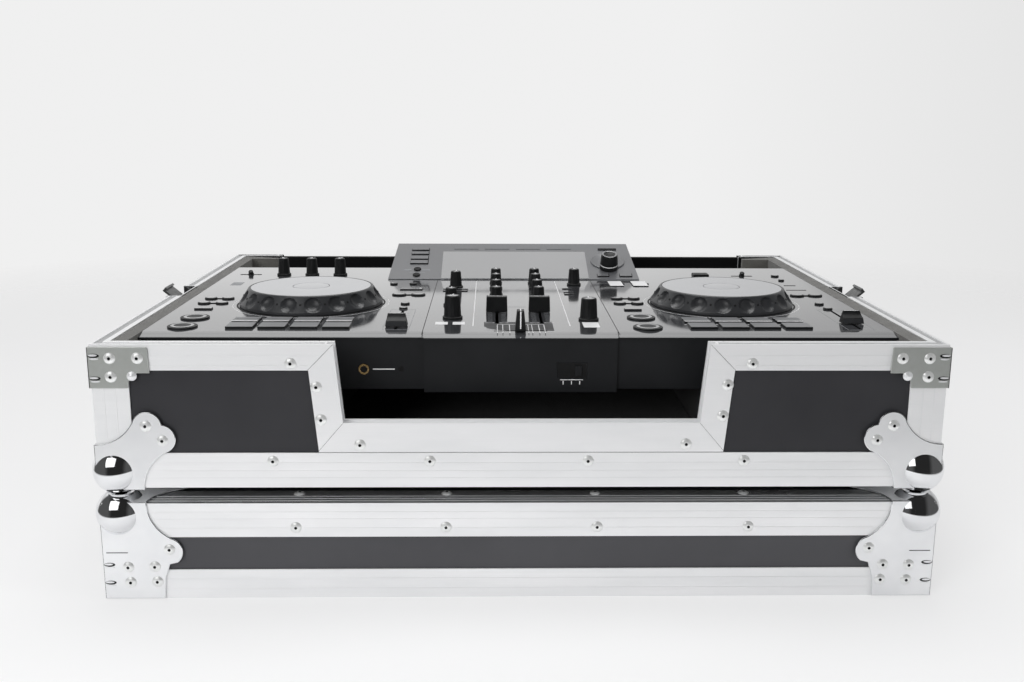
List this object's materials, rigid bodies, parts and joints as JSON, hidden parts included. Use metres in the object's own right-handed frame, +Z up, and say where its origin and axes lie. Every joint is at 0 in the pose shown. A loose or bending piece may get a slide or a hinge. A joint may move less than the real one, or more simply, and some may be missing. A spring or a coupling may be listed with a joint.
{
  "type": "dj coffin case",
  "caption": "Aluminium-edged flight case tray with foam bed, ball corners and a lift-out DJ deck unit, standing on its upturned lift-off lid.",
  "frame": {"origin": "middle of the case on the floor, under the lid's rim", "axes": "+X to the right of someone standing at the front, +Y from the front to the back, +Z up; the front with the cut-out faces -Y"},
  "size_m": [0.807, 0.6088, 0.2764],
  "materials": {
    "aluminium": "brushed anodised extrusion",
    "chrome_steel": "bright chrome plated pressed steel",
    "zinc_steel": "zinc plated pressed steel",
    "laminate": "plywood with a matt dark laminate",
    "lid_laminate": "plywood with a matt dark laminate",
    "foam": "dark grey closed-cell foam",
    "handle_grip": "black rubber over a steel bail",
    "unit_body": "matt black moulded plastic",
    "circuit_board": "green solder mask",
    "unit_deck": "dark satin faceplate",
    "unit_housing": "grey satin display housing",
    "jog_metal": "spun metal top plate on a moulded wheel",
    "knob_plastic": "black soft-touch plastic"
  },
  "bodies": {
    "lid": {"lid_back_wall": "lid_laminate", "lid_corner_back_left": "chrome_steel", "lid_corner_back_right": "chrome_steel", "lid_corner_front_left": "chrome_steel", "lid_corner_front_right": "chrome_steel", "lid_foam_lining": "foam", "lid_front_wall": "lid_laminate", "lid_latch_keeper_left": "zinc_steel", "lid_latch_keeper_right": "zinc_steel", "lid_left_wall": "lid_laminate", "lid_right_wall": "lid_laminate", "lid_rim": "aluminium", "lid_top_edging": "aluminium", "lid_top_panel": "lid_laminate"},
    "tray": {"foam_bed": "foam", "foam_surround": "foam", "front_cutout_trim": "aluminium", "handle_plate_left": "zinc_steel", "handle_plate_right": "zinc_steel", "latch_dish_left": "zinc_steel", "latch_dish_right": "zinc_steel", "tray_back_wall": "laminate", "tray_bottom_edging": "aluminium", "tray_corner_back_left": "chrome_steel", "tray_corner_back_right": "chrome_steel", "tray_corner_front_left": "chrome_steel", "tray_corner_front_right": "chrome_steel", "tray_floor_panel": "laminate", "tray_front_wall": "laminate", "tray_left_wall": "laminate", "tray_right_wall": "laminate", "tray_rim_back": "aluminium", "tray_rim_bracket_back_left": "zinc_steel", "tray_rim_bracket_back_right": "zinc_steel", "tray_rim_bracket_front_left": "zinc_steel", "tray_rim_bracket_front_right": "zinc_steel", "tray_rim_front_left": "aluminium", "tray_rim_front_right": "aluminium"},
    "unit": {"unit_chassis": "unit_body", "unit_circuit_board": "circuit_board", "unit_deck_plate": "unit_deck", "unit_screen_housing": "unit_housing"},
    "rear_panel": {"rear_access_panel": "laminate"},
    "claw_left": {"latch_claw_left": "zinc_steel"},
    "wing_left": {"latch_wing_left": "zinc_steel"},
    "bail_left": {"handle_bail_left": "handle_grip"},
    "jog_left": {"jog_wheel_left": "jog_metal"},
    "tempo_left": {"tempo_left": "knob_plastic"},
    "claw_right": {"latch_claw_right": "zinc_steel"},
    "wing_right": {"latch_wing_right": "zinc_steel"},
    "bail_right": {"handle_bail_right": "handle_grip"},
    "jog_right": {"jog_wheel_right": "jog_metal"},
    "tempo_right": {"tempo_right": "knob_plastic"},
    "channel_fader_1": {"channel_fader_1": "knob_plastic"},
    "channel_fader_2": {"channel_fader_2": "knob_plastic"},
    "crossfader": {"crossfader": "knob_plastic"},
    "knob_back_1": {"knob_back_1": "knob_plastic"},
    "knob_back_2": {"knob_back_2": "knob_plastic"},
    "knob_back_3": {"knob_back_3": "knob_plastic"},
    "selector": {"selector_knob": "knob_plastic"}
  },
  "joints": [
    {"name": "tray_lift", "type": "slide", "parent": "lid", "child": "tray", "axis": [0, 0, 1], "range_m": [0, 0.16]},
    {"name": "unit_lift", "type": "slide", "parent": "tray", "child": "unit", "axis": [0, 0, 1], "range_m": [0, 0.12]},
    {"name": "rear_panel_lift", "type": "slide", "parent": "tray", "child": "rear_panel", "axis": [0, 0, 1], "range_m": [0, 0.1]},
    {"name": "latch_wing_left_turn", "type": "hinge", "parent": "tray", "child": "wing_left", "pos_m": [-0.378, -0.011, 0.221], "axis": [-1, 0, 0], "range_deg": [0, 180]},
    {"name": "latch_claw_left_swing", "type": "hinge", "parent": "tray", "child": "claw_left", "pos_m": [-0.387, -0.011, 0.237], "axis": [0, 1, 0], "range_deg": [0, 50]},
    {"name": "handle_bail_left_lift", "type": "hinge", "parent": "tray", "child": "bail_left", "pos_m": [-0.3968, -0.011, 0.1884], "axis": [0, 1, 0], "range_deg": [0, 90], "stiffness_Nm_per_rad": 0.12},
    {"name": "jog_left_spin", "type": "hinge", "parent": "unit", "child": "jog_left", "pos_m": [-0.2255, -0.073, 0.243], "axis": [0, 0, 1], "continuous": true},
    {"name": "latch_wing_right_turn", "type": "hinge", "parent": "tray", "child": "wing_right", "pos_m": [0.378, -0.011, 0.221], "axis": [1, 0, 0], "range_deg": [0, 180]},
    {"name": "latch_claw_right_swing", "type": "hinge", "parent": "tray", "child": "claw_right", "pos_m": [0.387, -0.011, 0.237], "axis": [0, -1, 0], "range_deg": [0, 50]},
    {"name": "handle_bail_right_lift", "type": "hinge", "parent": "tray", "child": "bail_right", "pos_m": [0.3968, -0.011, 0.1884], "axis": [0, -1, 0], "range_deg": [0, 90], "stiffness_Nm_per_rad": 0.12},
    {"name": "jog_right_spin", "type": "hinge", "parent": "unit", "child": "jog_right", "pos_m": [0.2255, -0.073, 0.243], "axis": [0, 0, 1], "continuous": true},
    {"name": "tempo_left_slide", "type": "slide", "parent": "unit", "child": "tempo_left", "axis": [0, 1, 0], "range_m": [-0.01, 0.082]},
    {"name": "tempo_right_slide", "type": "slide", "parent": "unit", "child": "tempo_right", "axis": [0, 1, 0], "range_m": [-0.03, 0.062]},
    {"name": "channel_fader_1_slide", "type": "slide", "parent": "unit", "child": "channel_fader_1", "axis": [0, 1, 0], "range_m": [-0.06, 0]},
    {"name": "channel_fader_2_slide", "type": "slide", "parent": "unit", "child": "channel_fader_2", "axis": [0, 1, 0], "range_m": [-0.06, 0]},
    {"name": "crossfader_slide", "type": "slide", "parent": "unit", "child": "crossfader", "axis": [1, 0, 0], "range_m": [-0.0225, 0.0225]},
    {"name": "knob_back_1_turn", "type": "hinge", "parent": "unit", "child": "knob_back_1", "pos_m": [-0.2924, 0.1252, 0.243], "axis": [0, 0, 1], "range_deg": [-150, 150]},
    {"name": "knob_back_2_turn", "type": "hinge", "parent": "unit", "child": "knob_back_2", "pos_m": [-0.2567, 0.1252, 0.243], "axis": [0, 0, 1], "range_deg": [-150, 150]},
    {"name": "knob_back_3_turn", "type": "hinge", "parent": "unit", "child": "knob_back_3", "pos_m": [-0.221, 0.1252, 0.243], "axis": [0, 0, 1], "range_deg": [-150, 150]},
    {"name": "selector_turn", "type": "hinge", "parent": "unit", "child": "selector", "pos_m": [0.1214, 0.11795, 0.25323], "axis": [0, -0.3106, 0.9505], "continuous": true}
  ],
  "couplings": [
    {"joint": "latch_claw_left_swing", "follows": "latch_wing_left_turn", "ratio": 0.277},
    {"joint": "latch_claw_right_swing", "follows": "latch_wing_right_turn", "ratio": 0.277}
  ]
}
